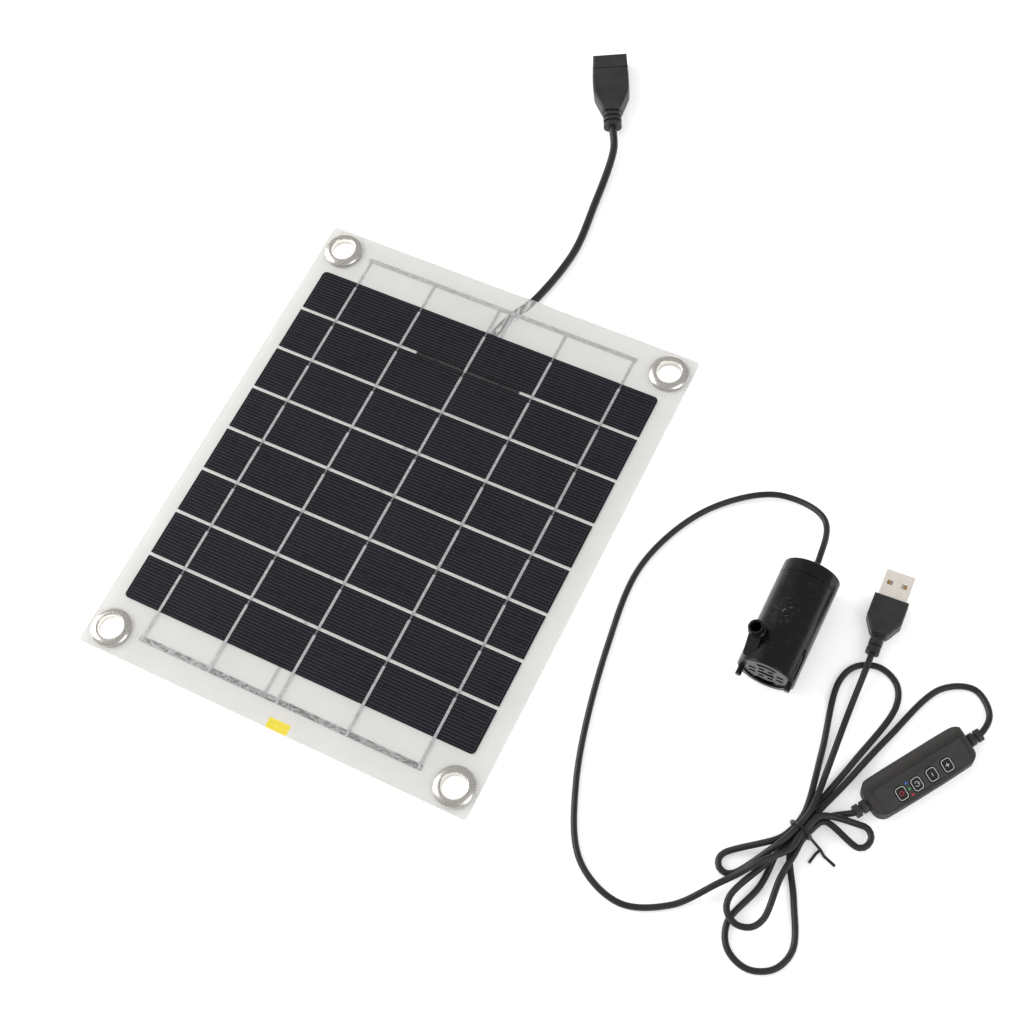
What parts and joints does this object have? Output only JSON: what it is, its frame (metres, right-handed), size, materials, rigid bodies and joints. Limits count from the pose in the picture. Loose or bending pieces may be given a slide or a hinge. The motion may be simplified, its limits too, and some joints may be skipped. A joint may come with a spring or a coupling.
{
  "type": "solar fountain pump",
  "caption": "Thin solar panel with corner eyelets and a USB output cable, with a loose submersible pump on a tied cable with an in-line timer controller and USB plug.",
  "frame": {"origin": "middle of the four corner eyelets, on the underside of the panel", "axes": "+Z out of the lit face of the panel, +Y along its long side towards the edge where the output cable leaves, +X to the right seen from the front"},
  "size_m": [0.3494, 0.3691, 0.0279],
  "materials": {
    "clear_laminate": "satin",
    "solar_cell": "glossy",
    "tinned_ribbon": "satin",
    "nickel": "polished",
    "yellow_tape": "satin",
    "adhesive": "satin",
    "black_box_plastic": "satin",
    "rubber_black": "satin",
    "circuit_board": "satin",
    "component_black": "satin",
    "capacitor_tan": "satin",
    "cable_pvc": "satin",
    "overmold_pvc": "satin",
    "usb_steel": "polished",
    "usb_insulator": "glossy",
    "gold_contact": "polished",
    "controller_plastic": "satin",
    "light_pipe": "glossy",
    "pump_plastic": "glossy",
    "potting_resin": "glossy",
    "motor_steel": "satin",
    "copper_winding": "satin",
    "magnet": "satin",
    "tie_wire": "glossy"
  },
  "bodies": {
    "panel": {"back_sheet": "clear_laminate", "encapsulant": "clear_laminate", "front_film": "clear_laminate", "solar_cell_strips": "solar_cell", "tabbing_ribbons": "tinned_ribbon", "top_bus_ribbon": "tinned_ribbon", "bottom_bus_ribbon": "tinned_ribbon", "negative_lead_ribbon": "tinned_ribbon", "positive_lead_ribbon": "tinned_ribbon", "eyelet_flanges": "nickel", "eyelet_washers": "nickel", "inspection_tab": "yellow_tape", "box_adhesive": "adhesive", "junction_box": "black_box_plastic", "junction_lid": "black_box_plastic", "cable_gland": "rubber_black", "regulator_board": "circuit_board", "regulator_inductor": "component_black", "regulator_chip": "component_black", "regulator_capacitors": "capacitor_tan", "blocking_diode": "component_black", "panel_cable": "cable_pvc", "socket_overmold": "overmold_pvc", "socket_shell": "usb_steel", "socket_tongue": "usb_insulator", "socket_contacts": "gold_contact"},
    "pump_set": {"bulkhead_seal": "rubber_black", "controller_board": "circuit_board", "controller_bottom_shell": "controller_plastic", "controller_relief_in": "overmold_pvc", "controller_relief_out": "overmold_pvc", "controller_top_shell": "controller_plastic", "driver_board": "circuit_board", "indicator_lights": "light_pipe", "isolation_can": "pump_plastic", "plug_cable": "cable_pvc", "plug_contacts": "gold_contact", "plug_overmold": "overmold_pvc", "plug_shell": "usb_steel", "plug_tongue": "usb_insulator", "pump_cable": "cable_pvc", "pump_cable_gland": "rubber_black", "pump_housing": "pump_plastic", "pump_potting": "potting_resin", "pump_rear_cap": "pump_plastic", "rotor_shaft": "motor_steel", "stator_coils": "copper_winding", "stator_core": "motor_steel", "tact_switches": "component_black", "timer_chip": "component_black", "twist_tie": "tie_wire", "volute_plate": "pump_plastic"},
    "rotor": {"impeller": "pump_plastic", "rotor_magnet": "magnet"},
    "intake_cover": {"intake_cover": "pump_plastic"},
    "power_button": {"power_button": "controller_plastic"},
    "timer_button": {"timer_button": "controller_plastic"},
    "minus_button": {"minus_button": "controller_plastic"},
    "plus_button": {"plus_button": "controller_plastic"}
  },
  "joints": [
    {"name": "pump_set_lift", "type": "slide", "parent": "panel", "child": "pump_set", "axis": [0, 0, 1], "range_m": [0, 0.1]},
    {"name": "rotor_spin", "type": "hinge", "parent": "pump_set", "child": "rotor", "pos_m": [0.1725, -0.0095, 0.004], "axis": [0, 1, 0], "continuous": true},
    {"name": "intake_cover_pull", "type": "slide", "parent": "pump_set", "child": "intake_cover", "axis": [0, -1, 0], "range_m": [0, 0.02]},
    {"name": "power_button_press", "type": "slide", "parent": "pump_set", "child": "power_button", "axis": [-0.2419, 0.1571, -0.9575], "range_m": [0, 0.0004], "stiffness_N_per_m": 400},
    {"name": "timer_button_press", "type": "slide", "parent": "pump_set", "child": "timer_button", "axis": [-0.2419, 0.1571, -0.9575], "range_m": [0, 0.0004], "stiffness_N_per_m": 400},
    {"name": "minus_button_press", "type": "slide", "parent": "pump_set", "child": "minus_button", "axis": [-0.2419, 0.1571, -0.9575], "range_m": [0, 0.0004], "stiffness_N_per_m": 400},
    {"name": "plus_button_press", "type": "slide", "parent": "pump_set", "child": "plus_button", "axis": [-0.2419, 0.1571, -0.9575], "range_m": [0, 0.0004], "stiffness_N_per_m": 400}
  ]
}
